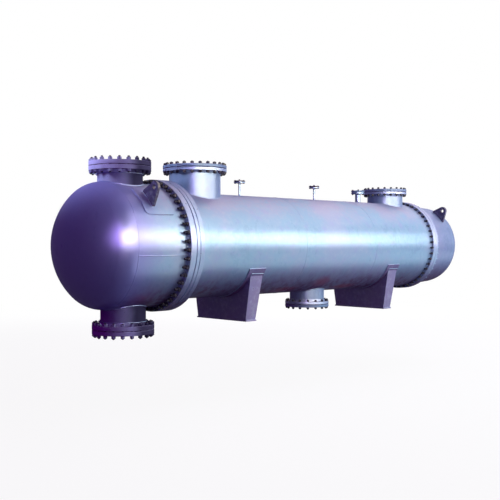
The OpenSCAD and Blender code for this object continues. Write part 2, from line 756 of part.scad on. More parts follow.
channel_head();
channel_barrel();
channel_flange();
tubesheet();
shell_front_flange();
shell_barrel();
shell_rear_flange();
cover_flange();
cover_barrel();
cover_head();
channel_top_neck();
channel_top_flange();
channel_top_blind();
channel_top_studs();
channel_bottom_neck();
channel_bottom_flange();
channel_bottom_blind();
channel_bottom_studs();
front_top_neck();
front_top_flange();
front_top_blind();
bottom_neck();
bottom_flange();
bottom_blind();
rear_top_neck();
rear_top_flange();
rear_top_blind();
front_vent();
front_vent_cap();
middle_vent();
middle_vent_cap();
relief_pipe();
relief_cap();
front_saddle_base();
front_saddle_web();
front_saddle_ribs();
front_saddle_wrapper();
rear_saddle_base();
rear_saddle_web();
rear_saddle_ribs();
rear_saddle_wrapper();
front_lug_pads();
front_lugs();
rear_lugs();
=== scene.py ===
import json
import math
import random

import bmesh
import bpy
from mathutils import Matrix, Vector


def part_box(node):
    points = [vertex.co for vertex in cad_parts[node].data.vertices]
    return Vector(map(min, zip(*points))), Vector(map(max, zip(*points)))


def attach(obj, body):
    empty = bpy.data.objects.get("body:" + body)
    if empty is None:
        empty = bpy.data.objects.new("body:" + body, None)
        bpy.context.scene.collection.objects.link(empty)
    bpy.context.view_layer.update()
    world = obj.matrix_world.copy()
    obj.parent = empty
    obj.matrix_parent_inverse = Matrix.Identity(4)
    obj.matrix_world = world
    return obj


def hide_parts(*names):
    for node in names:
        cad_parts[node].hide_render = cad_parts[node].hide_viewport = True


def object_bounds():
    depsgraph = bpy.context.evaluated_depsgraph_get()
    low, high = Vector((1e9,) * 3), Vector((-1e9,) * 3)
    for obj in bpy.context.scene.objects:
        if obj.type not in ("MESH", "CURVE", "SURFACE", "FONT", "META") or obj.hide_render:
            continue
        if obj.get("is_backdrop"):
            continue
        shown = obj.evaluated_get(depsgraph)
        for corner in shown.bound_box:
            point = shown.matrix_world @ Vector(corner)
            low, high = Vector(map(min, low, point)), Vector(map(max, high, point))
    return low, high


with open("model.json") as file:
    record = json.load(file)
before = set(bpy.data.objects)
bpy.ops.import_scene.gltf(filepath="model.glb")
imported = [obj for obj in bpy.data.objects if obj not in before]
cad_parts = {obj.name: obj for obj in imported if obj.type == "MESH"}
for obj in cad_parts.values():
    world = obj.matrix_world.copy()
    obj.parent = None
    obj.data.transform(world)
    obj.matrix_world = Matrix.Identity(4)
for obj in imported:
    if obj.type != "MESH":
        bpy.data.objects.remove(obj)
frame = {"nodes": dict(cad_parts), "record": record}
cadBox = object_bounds()
random.seed(7)
bpy.context.scene.view_settings.view_transform = "Standard"
print("frame loaded:", len(frame["nodes"]), "nodes")


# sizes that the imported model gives, in metres
def middle(node):
    low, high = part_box(node)
    return (low + high) / 2


def span(node):
    low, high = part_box(node)
    return high - low


axisZ = middle("shell_barrel").z
shellR = span("shell_barrel").y / 2
channelR = span("channel_barrel").y / 2
coverR = span("cover_head").y / 2
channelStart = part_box("channel_barrel")[0].x
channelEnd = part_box("channel_barrel")[1].x
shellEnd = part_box("shell_barrel")[1].x
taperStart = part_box("cover_flange")[1].x
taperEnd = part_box("cover_barrel")[1].x
mounts = {mount["name"]: mount for mount in frame["record"]["mounts"]}
faceRise = 0.003  # every gasket face stands this far above its flange


def onVessel(x, angle, radius):  # a point at an angle in degrees from the crown, towards -Y
    turn = math.radians(angle)
    return Vector((x, -radius * math.sin(turn), axisZ + radius * math.cos(turn)))


camera = {
    "lens": 58.09, "sensor": 36, "clip": (0.1, 200), "place": (-6.5824, -7.2442, 0.8976),
    "yaw": 43.98, "pitch": -0.36, "roll": -0.13,
}


def makeCamera():
    yaw, pitch, roll = (math.radians(camera[key]) for key in ("yaw", "pitch", "roll"))
    ahead = Vector((math.sin(yaw) * math.cos(pitch), math.cos(yaw) * math.cos(pitch), math.sin(pitch)))
    level = Vector((math.cos(yaw), -math.sin(yaw), 0))
    top = level.cross(ahead)
    right = level * math.cos(roll) + top * math.sin(roll)
    up = top * math.cos(roll) - level * math.sin(roll)
    data = bpy.data.cameras.new("camera")
    data.lens, data.sensor_width = camera["lens"], camera["sensor"]
    data.clip_start, data.clip_end = camera["clip"]
    holder = bpy.data.objects.new("camera", data)
    turned = Matrix((right, up, -ahead)).transposed().to_4x4()
    turned.translation = camera["place"]
    holder.matrix_world = turned
    bpy.context.scene.collection.objects.link(holder)
    bpy.context.scene.camera = holder


makeCamera()
print("camera placed")


class Wire:  # a shader socket; an operator on it adds its Math node
    def __init__(self, sheet, socket):
        self.sheet, self.socket = sheet, socket

    def __add__(self, other):
        return self.sheet.math("ADD", self, other)

    def __sub__(self, other):
        return self.sheet.math("SUBTRACT", self, other)

    def __rsub__(self, other):
        return self.sheet.math("SUBTRACT", other, self)

    def __mul__(self, other):
        return self.sheet.math("MULTIPLY", self, other)

    def __truediv__(self, other):
        return self.sheet.math("DIVIDE", self, other)

    def __pow__(self, other):
        return self.sheet.math("POWER", self, other)

    __radd__ = __add__
    __rmul__ = __mul__


class Sheet:  # one material and its nodes
    def __init__(self, name, owner=None):
        self.material = owner or bpy.data.materials.new(name)
        self.material.use_nodes = True
        self.tree = self.material.node_tree
        self.tree.nodes.clear()

    def node(self, kind, settings=None, sockets=None, out=0):
        made = self.tree.nodes.new("ShaderNode" + kind)
        for key, value in (settings or {}).items():
            setattr(made, key, value)
        for key, value in (sockets or {}).items():
            if isinstance(value, Wire):
                self.tree.links.new(value.socket, made.inputs[key])
            else:
                made.inputs[key].default_value = value
        return Wire(self, made.outputs[out]) if made.outputs else None

    def math(self, operation, *values):
        return self.node("Math", {"operation": operation}, dict(enumerate(values)))

    def clamp(self, wire):
        return self.node("Clamp", None, {0: wire})

    def step(self, wire, low, high):  # 0 up to low, 1 from high on, smooth between; low may be the larger
        ends = {0: wire, 1: low, 2: high, 3: 0.0, 4: 1.0}
        return self.node("MapRange", {"interpolation_type": "SMOOTHSTEP"}, ends)

    def place(self):
        return self.node("TexCoord", out="Object")

    def part(self, wire, axis):
        return self.node("SeparateXYZ", None, {0: wire}, out=axis)

    def scaled(self, wire, size):
        return self.node("VectorMath", {"operation": "MULTIPLY"}, {0: wire, 1: size})

    def noise(self, wire, scale, detail, rough):
        sockets = {"Vector": wire, "Scale": scale, "Detail": detail, "Roughness": rough}
        return self.node("TexNoise", None, sockets)

    def blend(self, mask, first, second):  # colours
        return self.node("Mix", {"data_type": "RGBA"}, {0: mask, 6: first, 7: second}, out=2)

    def bump(self, height, distance, under=None):
        sockets = {"Height": height, "Distance": distance}
        if under:
            sockets["Normal"] = under
        return self.node("Bump", None, sockets)

    def finish(self, sockets):
        shader = self.node("BsdfPrincipled", None, sockets)
        self.node("OutputMaterial", None, {"Surface": shader})
        return self.material


def rgb(red, green, blue):
    return (red, green, blue, 1.0)


vesselLook = {
    "cool": rgb(0.210, 0.335, 0.490),
    "warm": rgb(0.245, 0.315, 0.480),
    "bloom": rgb(0.330, 0.390, 0.500),
    "violet": rgb(0.250, 0.250, 0.510),
    "dust": rgb(0.370, 0.250, 0.330),
    # painted shade with grime: the dark purple that downward faces are blended towards; the random dark
    # specks use it too
    "grime": rgb(0.075, 0.012, 0.060),
    "wash": rgb(0.210, 0.050, 0.100),
    "chip": rgb(0.050, 0.035, 0.045),
    # painted shade on the channel nozzles' far sides
    "soot": rgb(0.060, 0.050, 0.120),
    "end": rgb(0.185, 0.182, 0.485),  # painted shade on the channel's dished end, darker and more violet
    "endShare": 0.8,
    "rough": 0.30,
    "metal": 0.06,
    "specular": 0.0,
    "orangePeel": 0.00016,
    "plateWave": 0.0035,
}
grains = {  # scale, detail and roughness of each noise
    "cloud": (1.3, 4.0, 0.55), "fine": (21.0, 3.0, 0.6), "patch": (9.0, 4.0, 0.65),
    "speck": (160.0, 2.0, 0.6), "runs": (1.0, 3.0, 0.5), "chips": (34.0, 5.0, 0.7),
    "chipGroups": (4.0, 2.0, 0.5), "wave": (1.6, 2.0, 0.4), "peel": (330.0, 2.0, 0.5),
    "toolMarks": (60.0, 3.0, 0.5), "ripple": (95.0, 2.0, 0.5),
}
stretches = {"runs": (16.0, 16.0, 1.1), "wave": (0.8, 2.2, 2.2)}
edges = {  # where a mask leaves 0 and where it reaches 1
    "warm": (0.38, 0.62), "bloom": (0.45, 0.75), "violet": (0.50, 0.72), "dust": (0.45, 0.85),
    "runs": (0.5, 0.85), "speck": (0.68, 0.74), "wash": (1.0, 0.2), "nearSide": (0.0, -0.1),
    "end": (-1.32, -1.88), "chips": (0.90, 0.93), "upward": (0.35, 0.95), "downward": (-0.30, -0.92),
    "pole": (0.0, 0.024),
}
shares = {  # how much of each layer shows
    "bloom": 0.22, "violet": 0.35, "dust": 0.35, "grime": 0.65, "runs": 0.20, "speck": 0.25, "wash": 0.55,
    "soot": 0.95, "sootOnTop": 0.65, "chipGroups": 0.35,
}
blurs = {"dust": 0.4, "runs": 0.3, "wash": 0.8, "soot": 0.2}  # how far a noise moves each layer's edge
glosses = {"cloud": 0.16, "fine": 0.10, "runs": 0.10, "dust": 0.25, "base": -0.18}
reliefs = {"grooves": 0.00025, "chips": 0.0003}


def makePaint(
        name, rough=0.0, chips=0.0, wave=1.0, grooves=None, soot=None, ripple=None, stains=(), look=None):
    sheet = Sheet(name)
    paint = {**vesselLook, **(look or {})}
    place = sheet.place()
    x, y, z = (sheet.part(place, axis) for axis in "XYZ")
    radius = sheet.math("SQRT", y * y + (z - axisZ) ** 2.0)
    layers = ("cloud", "fine", "patch", "speck")
    cloud, fine, patch, speck = (sheet.noise(place, *grains[key]) for key in layers)
    runs = sheet.noise(sheet.scaled(place, stretches["runs"]), *grains["runs"])
    facing = sheet.part(sheet.node("TexCoord", out="Normal"), "Z")
    upward, downward = (sheet.step(facing, *edges[key]) for key in ("upward", "downward"))
    colour = sheet.blend(sheet.step(cloud, *edges["warm"]), paint["cool"], paint["warm"])
    colour = sheet.blend(sheet.step(fine, *edges["bloom"]) * shares["bloom"], colour, paint["bloom"])
    colour = sheet.blend(sheet.step(patch, *edges["violet"]) * shares["violet"], colour, paint["violet"])
    dusty = upward * sheet.step(cloud + fine * blurs["dust"], *edges["dust"])
    colour = sheet.blend(dusty * shares["dust"], colour, paint["dust"])
    streaks = sheet.step(runs + fine * blurs["runs"], *edges["runs"]) * shares["runs"]
    # downward faces darken: painted shade on every underside, with grime runs streaked through it
    colour = sheet.blend(downward * (streaks + shares["grime"]), colour, paint["grime"])
    colour = sheet.blend(sheet.step(speck, *edges["speck"]) * shares["speck"], colour, paint["grime"])
    for atX, atZ, wide, high in stains:  # washes of rust low on the near side
        away = sheet.math("SQRT", ((x - atX) / wide) ** 2.0 + ((z - atZ) / high) ** 2.0)
        wash = sheet.step(away + (fine - 0.5) * blurs["wash"], *edges["wash"])
        wash = wash * sheet.step(y, *edges["nearSide"])
        colour = sheet.blend(wash * shares["wash"], colour, paint["wash"])
    # painted shade: the channel's dished end is blended darker and more violet along X
    if paint["endShare"]:
        colour = sheet.blend(sheet.step(x, *edges["end"]) * paint["endShare"], colour, paint["end"])
    if soot:  # painted shade, darker towards the rear of a nozzle, between two stations, thinner on top
        sideShaded = sheet.step(x + (cloud - 0.5) * blurs["soot"], *soot)
        thick = shares["soot"] - upward * shares["sootOnTop"]
        colour = sheet.blend(sideShaded * thick, colour, paint["soot"])
    worn = None
    if chips:
        flakes = sheet.noise(place, *grains["chips"])
        groups = sheet.noise(place, *grains["chipGroups"]) * shares["chipGroups"]
        worn = sheet.step(flakes + groups, *(edge - chips for edge in edges["chips"]))
        colour = sheet.blend(worn, colour, paint["chip"])
    gloss = cloud * glosses["cloud"] + fine * glosses["fine"] + runs * glosses["runs"]
    gloss = gloss + upward * shares["dust"] * glosses["dust"] + (paint["rough"] + rough + glosses["base"])
    wide = sheet.noise(sheet.scaled(place, stretches["wave"]), *grains["wave"])
    relief = sheet.bump(wide, paint["plateWave"] * wave)
    relief = sheet.bump(sheet.noise(place, *grains["peel"]), paint["orangePeel"], relief)
    if grooves:  # turned rings
        rings = sheet.math("SINE", radius * (2 * math.pi / grooves))
        marks = sheet.noise(place, *grains["toolMarks"])
        relief = sheet.bump(rings * 0.5 + marks * 0.5, reliefs["grooves"], relief)
    if ripple:
        relief = sheet.bump(sheet.noise(place, *grains["ripple"]), ripple, relief)
    if worn:
        relief = sheet.bump(1.0 - worn, reliefs["chips"], relief)
    return sheet.finish({
        "Base Color": colour, "Roughness": sheet.clamp(gloss), "Normal": relief,
        "Metallic": sheet.step(radius, *edges["pole"]) * paint["metal"],  # the heads' middles don't glint
        "Specular IOR Level": paint["specular"],
    })


# the channel nozzles' paint; its darkest colour is painted shade on their far sides
mattLook = {
    "cool": rgb(0.34, 0.35, 0.58), "warm": rgb(0.32, 0.31, 0.54), "soot": rgb(0.036, 0.031, 0.066),
    "metal": 0.0, "endShare": 0.0,
}
channelFlangeLook = {
    **mattLook,
    "cool": rgb(0.46, 0.45, 0.76), "warm": rgb(0.43, 0.41, 0.70), "soot": rgb(0.060, 0.050, 0.100),
}
# painted shade: the lugs and vent caps are near-black, standing in for the shade on their faces
lugShadeLook = {
    "cool": rgb(0.075, 0.065, 0.130), "warm": rgb(0.060, 0.050, 0.110), "dust": rgb(0.16, 0.15, 0.20),
    "metal": 0.0, "specular": 0.04, "endShare": 0.0,
}
saddleLook = {"cool": rgb(0.158, 0.150, 0.298), "warm": rgb(0.172, 0.152, 0.288)}
flangeLook = {"cool": rgb(0.240, 0.340, 0.515), "warm": rgb(0.275, 0.325, 0.505)}
rearCoverLook = {
    "cool": rgb(0.195, 0.255, 0.420), "warm": rgb(0.220, 0.245, 0.415), "bloom": rgb(0.300, 0.330, 0.470),
}
rustWashes = (  # along, up, half width and half height of each
    (1.32, 0.42, 0.22, 0.10), (1.90, 0.34, 0.30, 0.05), (-1.60, 0.32, 0.22, 0.10), (0.75, 0.34, 0.30, 0.05))
# the painted shade on the channel nozzles lies between these two stations along X
sideShadeStations = (-1.66, -1.50)
vesselPaint = makePaint("vesselPaint", stains=rustWashes)
flangePaint = makePaint("flangePaint", rough=0.03, chips=0.05, wave=0.0, grooves=0.004, look=flangeLook)
coverPaint = makePaint("coverPaint", rough=0.04, chips=0.05, wave=0.0, look={"metal": 0.01})
saddlePaint = makePaint("saddlePaint", rough=0.06, chips=0.04, wave=0.4, look=saddleLook)
lugPaint = makePaint("lugPaint", rough=0.05, chips=0.03, wave=0.0, look=lugShadeLook)
channelNozzlePaint = makePaint(
    "channelNozzlePaint", rough=0.20, chips=0.05, wave=0.0, soot=sideShadeStations, look=mattLook)
channelFlangePaint = makePaint(
    "channelFlangePaint", rough=0.20, chips=0.05, wave=0.0, soot=sideShadeStations, look=channelFlangeLook)
neckPaint = makePaint("neckPaint", wave=0.5, look={"metal": 0.032})
rearCoverPaint = makePaint("rearCoverPaint", look=rearCoverLook)
weldPaint = makePaint("weldPaint", rough=0.04, wave=0.0, ripple=0.0016)

steel = {
    "dark": rgb(0.020, 0.020, 0.036), "pale": rgb(0.075, 0.072, 0.110), "rust": rgb(0.050, 0.026, 0.030),
    "rough": 0.22, "cloudGloss": 0.25, "specular": 0.02, "rustShare": 0.5,
    "cloud": (30.0, 4.0, 0.6), "fine": (240.0, 3.0, 0.6), "paleEdge": (0.35, 0.70), "rustEdge": (0.56, 0.64),
    "pitting": 0.0002, "pitch": 0.003, "thread": 0.0009,
}


def makeSteel(name, threaded):
    sheet = Sheet(name)
    place = sheet.place()
    cloud, fine = (sheet.noise(place, *steel[key]) for key in ("cloud", "fine"))
    colour = sheet.blend(sheet.step(cloud, *steel["paleEdge"]), steel["dark"], steel["pale"])
    rusty = sheet.step(fine * 0.5 + cloud * 0.5, *steel["rustEdge"])
    colour = sheet.blend(rusty * steel["rustShare"], colour, steel["rust"])
    relief = sheet.bump(fine, steel["pitting"])
    if threaded:
        along = sheet.node("Attribute", {"attribute_name": "along"}, out="Fac")
        turns = sheet.math("SINE", along * (2 * math.pi / steel["pitch"]))
        relief = sheet.bump(turns, steel["thread"], relief)
    return sheet.finish({
        "Base Color": colour, "Roughness": cloud * steel["cloudGloss"] + steel["rough"], "Normal": relief,
        "Specular IOR Level": steel["specular"],
    })


nutSteel = makeSteel("nutSteel", False)
studSteel = makeSteel("studSteel", True)

finishes = {
    "vessel_paint": vesselPaint, "flange_paint": flangePaint, "cover_paint": coverPaint,
    "saddle_paint": saddlePaint, "lug_paint": lugPaint, "stud_steel": nutSteel,
}
for part in frame["record"]["subparts"]:
    name = part["node"]
    ownPaint = finishes[part["material_slot"]]
    if name.startswith(("channel_top", "channel_bottom")):
        ownPaint = channelNozzlePaint if name.endswith("_neck") else channelFlangePaint
    elif name.endswith("_neck"):
        ownPaint = neckPaint
    elif name in ("cover_barrel", "cover_head"):
        ownPaint = rearCoverPaint
    elif name.endswith("vent_cap"):
        ownPaint = lugPaint
    for slot in frame["nodes"][name].material_slots:
        slot.material = ownPaint
print("paint on", len(frame["nodes"]), "nodes")


def keep(bm, name, materials, sharp=None):
    mesh = bpy.data.meshes.new(name)
    bmesh.ops.recalc_face_normals(bm, faces=bm.faces)
    bm.to_mesh(mesh)
    bm.free()
    for material in materials:
        mesh.materials.append(material)
    if sharp:  # edges turned by more than this many degrees stay sharp
        mesh.shade_smooth()
        mesh.set_sharp_from_angle(angle=math.radians(sharp))
    piece = bpy.data.objects.new(name, mesh)
    bpy.context.scene.collection.objects.link(piece)
    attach(piece, "root")
    return piece


hardware = {  # reach and bevels are shares of a radius
    "nutSides": 6, "washerSides": 16, "studSides": 12,
    "washerReach": 1.03, "nutBevel": 0.13, "studBevel": 0.25,
}


def nutShape(across, high, washer):  # a chamfered hexagon on its washer, seated on Z = 0
    bm = bmesh.new()
    corner = across / math.sqrt(3)
    bmesh.ops.create_cone(
        bm, cap_ends=True, segments=hardware["nutSides"], radius1=corner, radius2=corner, depth=high,
        matrix=Matrix.Translation((0, 0, washer + high / 2)))
    rim = [edge for edge in bm.edges if all(vert.co.z > washer + high / 2 for vert in edge.verts)]
    bmesh.ops.bevel(
        bm, geom=rim, offset=corner * hardware["nutBevel"], segments=1, affect="EDGES", profile=0.5,
        material=-1)
    reach = corner * hardware["washerReach"]
    bmesh.ops.create_cone(
        bm, cap_ends=True, segments=hardware["washerSides"], radius1=reach, radius2=reach, depth=washer,
        matrix=Matrix.Translation((0, 0, washer / 2)))
    return bm


def boltUp(name, centre, axis, circle, count, phase, seats, bolt, coats):
    # seats are the heights of the two outer faces along the axis; the second is None at a tapped hole
    turned = Vector((0, 0, 1)).rotation_difference(Vector(axis)).to_matrix().to_4x4()
    stand = Matrix.Translation(centre) @ turned
    nuts, studs = bmesh.new(), bmesh.new()
    along = studs.verts.layers.float.new("along")
    nut = bpy.data.meshes.new("nutShape")
    shape = nutShape(bolt["across"], bolt["nut"], bolt["washer"])
    shape.to_mesh(nut)
    shape.free()
    grip = bolt["washer"] + bolt["nut"]
    for number in range(count):
        angle = (number + phase) * 2 * math.pi / count
        spot = Vector((circle * math.cos(angle), circle * math.sin(angle), 0))
        for end, seat in enumerate(seats):
            if seat is None:
                continue
            flip = Matrix.Identity(4) if end else Matrix.Rotation(math.pi, 4, "X")
            turn = Matrix.Rotation(random.uniform(0, math.pi / 3), 4, "Z")
            first, firstFace = len(nuts.verts), len(nuts.faces)
            nuts.from_mesh(nut)
            nuts.verts.ensure_lookup_table()
            nuts.faces.ensure_lookup_table()
            for face in nuts.faces[firstFace:]:
                face.material_index = min(end, len(coats) - 1)
            moved = stand @ Matrix.Translation(spot + Vector((0, 0, seat))) @ flip @ turn
            bmesh.ops.transform(nuts, matrix=moved, verts=nuts.verts[first:])
        low = seats[0] - grip - bolt["ends"][0] - random.uniform(0, bolt["uneven"])
        if seats[1] is None:
            high = bolt["depth"]
        else:
            high = seats[1] + grip + bolt["ends"][1] + random.uniform(-bolt["uneven"], 0)
        rod = bmesh.ops.create_cone(
            studs, cap_ends=True, segments=hardware["studSides"], radius1=bolt["radius"],
            radius2=bolt["radius"], depth=high - low,
            matrix=Matrix.Translation(spot + Vector((0, 0, (low + high) / 2))))["verts"]
        touching = {edge for vert in rod for edge in vert.link_edges}
        rims = [edge for edge in touching if abs(edge.verts[0].co.z - edge.verts[1].co.z) < 1e-6]
        bmesh.ops.bevel(
            studs, geom=rims, offset=bolt["radius"] * hardware["studBevel"], segments=1, affect="EDGES",
            profile=0.5, material=-1)
    for vert in studs.verts:
        vert[along] = vert.co.z
    bmesh.ops.transform(studs, matrix=stand, verts=studs.verts)
    bpy.data.meshes.remove(nut)
    return keep(nuts, name + "Nuts", coats), keep(studs, name + "Studs", [studSteel])


bolts = {  # across flats, heights, the ends that stand past each nut, and how uneven those are
    "girthFront": {
        "across": 0.041, "nut": 0.027, "washer": 0.004, "radius": 0.0135,
        "ends": (0.034, 0.0), "uneven": 0.008, "depth": 0.105},
    "girthRear": {
        "across": 0.030, "nut": 0.020, "washer": 0.003, "radius": 0.0100,
        "ends": (0.028, 0.010), "uneven": 0.004},
    "channelTop": {
        "across": 0.041, "nut": 0.023, "washer": 0.004, "radius": 0.0120,
        "ends": (0.008, 0.016), "uneven": 0.005},
    "channelBottom": {
        "across": 0.041, "nut": 0.023, "washer": 0.004, "radius": 0.0120,
        "ends": (0.008, 0.011), "uneven": 0.004},
    "frontNozzle": {
        "across": 0.036, "nut": 0.021, "washer": 0.003, "radius": 0.0120,
        "ends": (0.006, 0.006), "uneven": 0.003},
    "shellNozzle": {
        "across": 0.030, "nut": 0.018, "washer": 0.003, "radius": 0.0100,
        "ends": (0.006, 0.006), "uneven": 0.003},
    "relief": {
        "across": 0.024, "nut": 0.010, "washer": 0.002, "radius": 0.0080,
        "ends": (0.002, 0.002), "uneven": 0.001},
    "vent": {
        "across": 0.019, "nut": 0.006, "washer": 0.001, "radius": 0.0060,
        "ends": (0.001, 0.001), "uneven": 0.0005},
}
vents = {"names": ("front_vent", "middle_vent"), "capT": 0.012, "margin": 0.0175, "bolts": 4}


def boltNozzle(name, side, bolt, circle, count, phase, coats):
    blind = name + "_blind" if name + "_blind" in frame["nodes"] else name + "_cap"
    low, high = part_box(blind)
    face = low.z if side > 0 else high.z
    thick = vents["capT"] if name in vents["names"] else high.z - low.z - faceRise
    centre = Vector(((low.x + high.x) / 2, 0, face))
    seats = (-faceRise - thick, faceRise + thick)
    piece = name.replace("_", "")
    return boltUp(piece, centre, (0, 0, side), circle, count, phase, seats, bolts[bolt], coats)


for name, side, bolt in (
    ("channel_top", 1, "channelTop"), ("channel_bottom", -1, "channelBottom"),
    ("front_top", 1, "frontNozzle"), ("bottom", -1, "shellNozzle"), ("rear_top", 1, "shellNozzle"),
    ("relief", 1, "relief"),
):
    pattern = mounts[name + "_bolts"]["dims"]
    phase = 0.5 if name == "relief" else 0.0
    coats = [channelNozzlePaint] if name.startswith("channel") else [nutSteel]
    made = boltNozzle(name, side, bolt, pattern["pcd_mm"] / 2000, pattern["count"], phase, coats)
    if name + "_studs" in frame["nodes"]:
        for piece in made:
            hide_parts(name + "_studs")
ventCircle = span("front_vent_cap").x / 2 - vents["margin"]
for name in vents["names"]:
    boltNozzle(name, 1, "vent", ventCircle, vents["bolts"], 0.5, [lugPaint])

girths = {"frontMargin": 0.026, "rearMargin": 0.019, "count": 48, "phase": 0.5}
frontCircle = span("channel_flange").y / 2 - girths["frontMargin"]
rearCircle = span("cover_flange").y / 2 - girths["rearMargin"]
frontSeats = (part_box("channel_flange")[0].x - channelEnd, None)
rearSeats = (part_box("shell_rear_flange")[0].x - shellEnd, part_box("cover_flange")[1].x - shellEnd)
boltUp("frontGirth", Vector((channelEnd, 0, axisZ)), (1, 0, 0), frontCircle, girths["count"], girths["phase"],
       frontSeats, bolts["girthFront"], [nutSteel])
boltUp("rearGirth", Vector((shellEnd, 0, axisZ)), (1, 0, 0), rearCircle, girths["count"], girths["phase"],
       rearSeats, bolts["girthRear"], [nutSteel, vesselPaint])
print("bolted joints made")

beads = {
    "sides": 2, "steps": 120, "cornerPoints": 7, "spacing": 0.03, "joined": 1e-6, "sharp": 60,
    "seam": 0.0024, "longSeam": 0.0050, "nozzle": 0.0080, "hub": 0.0040, "plate": 0.0050, "small": 0.0040,
}


def ringPath(x, radius, low=0.0, high=360.0):  # round the vessel, between two angles from the crown
    closed = high - low == 360.0
    count = beads["steps"] if closed else beads["steps"] // 2 + 1
    last = count if closed else count - 1
    return [onVessel(x, low + (high - low) * number / last, radius) for number in range(count)], closed


def straight(first, last):
    return [first, last], False


def fullTurn():
    return [2 * math.pi * number / beads["steps"] for number in range(beads["steps"])]


def footPath(x, side, neck, radius):  # where a nozzle's neck meets the vessel
    points = []
    for turn in fullTurn():
        rise = math.sqrt(radius ** 2 - (neck * math.sin(turn)) ** 2)
        points.append(Vector((x + neck * math.cos(turn), neck * math.sin(turn), axisZ + side * rise)))
    return points, True


def levelPath(x, z, radius):
    return [Vector((x + radius * math.cos(turn), radius * math.sin(turn), z)) for turn in fullTurn()], True


def plateFootPath(x0, x1, half, radius, angle, corner=0.0):  # a plate's outline where it stands on the vessel
    outline, turned = [], math.radians(angle)
    cornerPoints = beads["cornerPoints"] if corner else 1
    for cx, cw, start in ((x1 - corner, half - corner, 0), (x0 + corner, half - corner, 90),
                          (x0 + corner, corner - half, 180), (x1 - corner, corner - half, 270)):
        for number in range(cornerPoints):
            turn = math.radians(start + 90 * number / (beads["cornerPoints"] - 1))
            outline.append((cx + corner * math.cos(turn), cw + corner * math.sin(turn)))
    points = []
    for (x, across), (nextX, nextAcross) in zip(outline, outline[1:] + outline[:1]):
        parts = max(1, int(math.hypot(nextX - x, nextAcross - across) / beads["spacing"]))
        for part in range(parts):
            where = x + (nextX - x) * part / parts
            w = across + (nextAcross - across) * part / parts
            reach = radius(where) if callable(radius) else radius
            h = math.sqrt(reach ** 2 - w ** 2)
            points.append(Vector((where, w * math.cos(turned) - h * math.sin(turned),
                                  axisZ + w * math.sin(turned) + h * math.cos(turned))))
    return points, True


def makeBeads(name, paths, thick):
    curve = bpy.data.curves.new(name, "CURVE")
    curve.dimensions, curve.use_fill_caps = "3D", True
    curve.bevel_depth, curve.bevel_resolution = thick, beads["sides"]
    for points, closed in paths:
        spline = curve.splines.new("POLY")
        spline.points.add(len(points) - 1)
        for spot, point in zip(spline.points, points):
            spot.co = (*point, 1.0)
        spline.use_cyclic_u = closed
    holder = bpy.data.objects.new(name + "Curve", curve)
    bpy.context.scene.collection.objects.link(holder)
    swept = bpy.data.meshes.new_from_object(holder.evaluated_get(bpy.context.evaluated_depsgraph_get()))
    bpy.data.objects.remove(holder)
    bm = bmesh.new()
    bm.from_mesh(swept)
    bpy.data.meshes.remove(swept)
    bmesh.ops.remove_doubles(bm, verts=bm.verts, dist=beads["joined"])
    return keep(bm, name, [weldPaint], sharp=beads["sharp"])


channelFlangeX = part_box("channel_flange")[0].x
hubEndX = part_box("shell_front_flange")[1].x
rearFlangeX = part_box("shell_rear_flange")[0].x
seams = {"channelLong": 98.7, "outerLong": -62, "middleLong": -40, "firstX": 0.80, "secondX": 2.20}


def longSeam(x0, x1, angle, radius):
    return straight(onVessel(x0, angle, radius), onVessel(x1, angle, radius))


makeBeads("channelBeads", [
    ringPath(channelStart, channelR), ringPath(channelFlangeX, channelR)], beads["seam"])
makeBeads("channelLongSeam", [
    longSeam(channelStart, channelFlangeX, seams["channelLong"], channelR)], beads["longSeam"])
makeBeads("shellBeads", [
    ringPath(hubEndX, shellR), ringPath(seams["firstX"], shellR),
    ringPath(seams["secondX"], shellR), ringPath(rearFlangeX, shellR),
    longSeam(hubEndX, seams["firstX"], seams["outerLong"], shellR),
    longSeam(seams["firstX"], seams["secondX"], seams["middleLong"], shellR),
    longSeam(seams["secondX"], rearFlangeX, seams["outerLong"], shellR)], beads["seam"])
makeBeads("coverBeads", [ringPath(taperStart, shellR), ringPath(taperEnd, coverR)], beads["seam"])
for name, side, vessel in (
    ("channel_top", 1, channelR), ("channel_bottom", -1, channelR), ("front_top", 1, shellR),
    ("bottom", -1, shellR), ("rear_top", 1, shellR),
):
    low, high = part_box(name + "_neck")
    neck, x = (high.x - low.x) / 2, (high.x + low.x) / 2
    piece = name.replace("_", "")
    makeBeads(piece + "Foot", [footPath(x, side, neck, vessel)], beads["nozzle"])
    makeBeads(piece + "Ring", [levelPath(x, high.z if side > 0 else low.z, neck)], beads["hub"])
smallPipes = {"front_vent": 0.0135, "middle_vent": 0.0135, "relief_pipe": 0.038}
makeBeads("smallFeet", [
    footPath(middle(name).x, 1, pipe, shellR) for name, pipe in smallPipes.items()], beads["small"])

lugs = {
    "halfT": 0.016, "halfW": 0.115, "pad": 0.012, "ahead": 0.120, "behind": 0.260, "padHalf": 0.202,
    "corner": 0.050, "front": 45.0, "rear": 43.0, "drop": 0.042,
}
frontLugX, rearLugX = (mounts[end + "_lug_eye_left"]["pos_m"][0] for end in ("front", "rear"))


def taperR(x):
    return shellR - lugs["drop"] * (x - taperStart) / (taperEnd - taperStart)


def lugFeet(x, radius, angle):
    return [plateFootPath(x - lugs["halfT"], x + lugs["halfT"], lugs["halfW"], radius, turn)
            for turn in (angle, -angle)]


makeBeads("lugBeads", lugFeet(frontLugX, channelR + lugs["pad"], lugs["front"])
          + lugFeet(rearLugX, taperR, lugs["rear"]), beads["plate"])
makeBeads("padBeads", [
    plateFootPath(frontLugX - lugs["ahead"], frontLugX + lugs["behind"], lugs["padHalf"], channelR, turn,
                  lugs["corner"]) for turn in (lugs["front"], -lugs["front"])], beads["plate"])

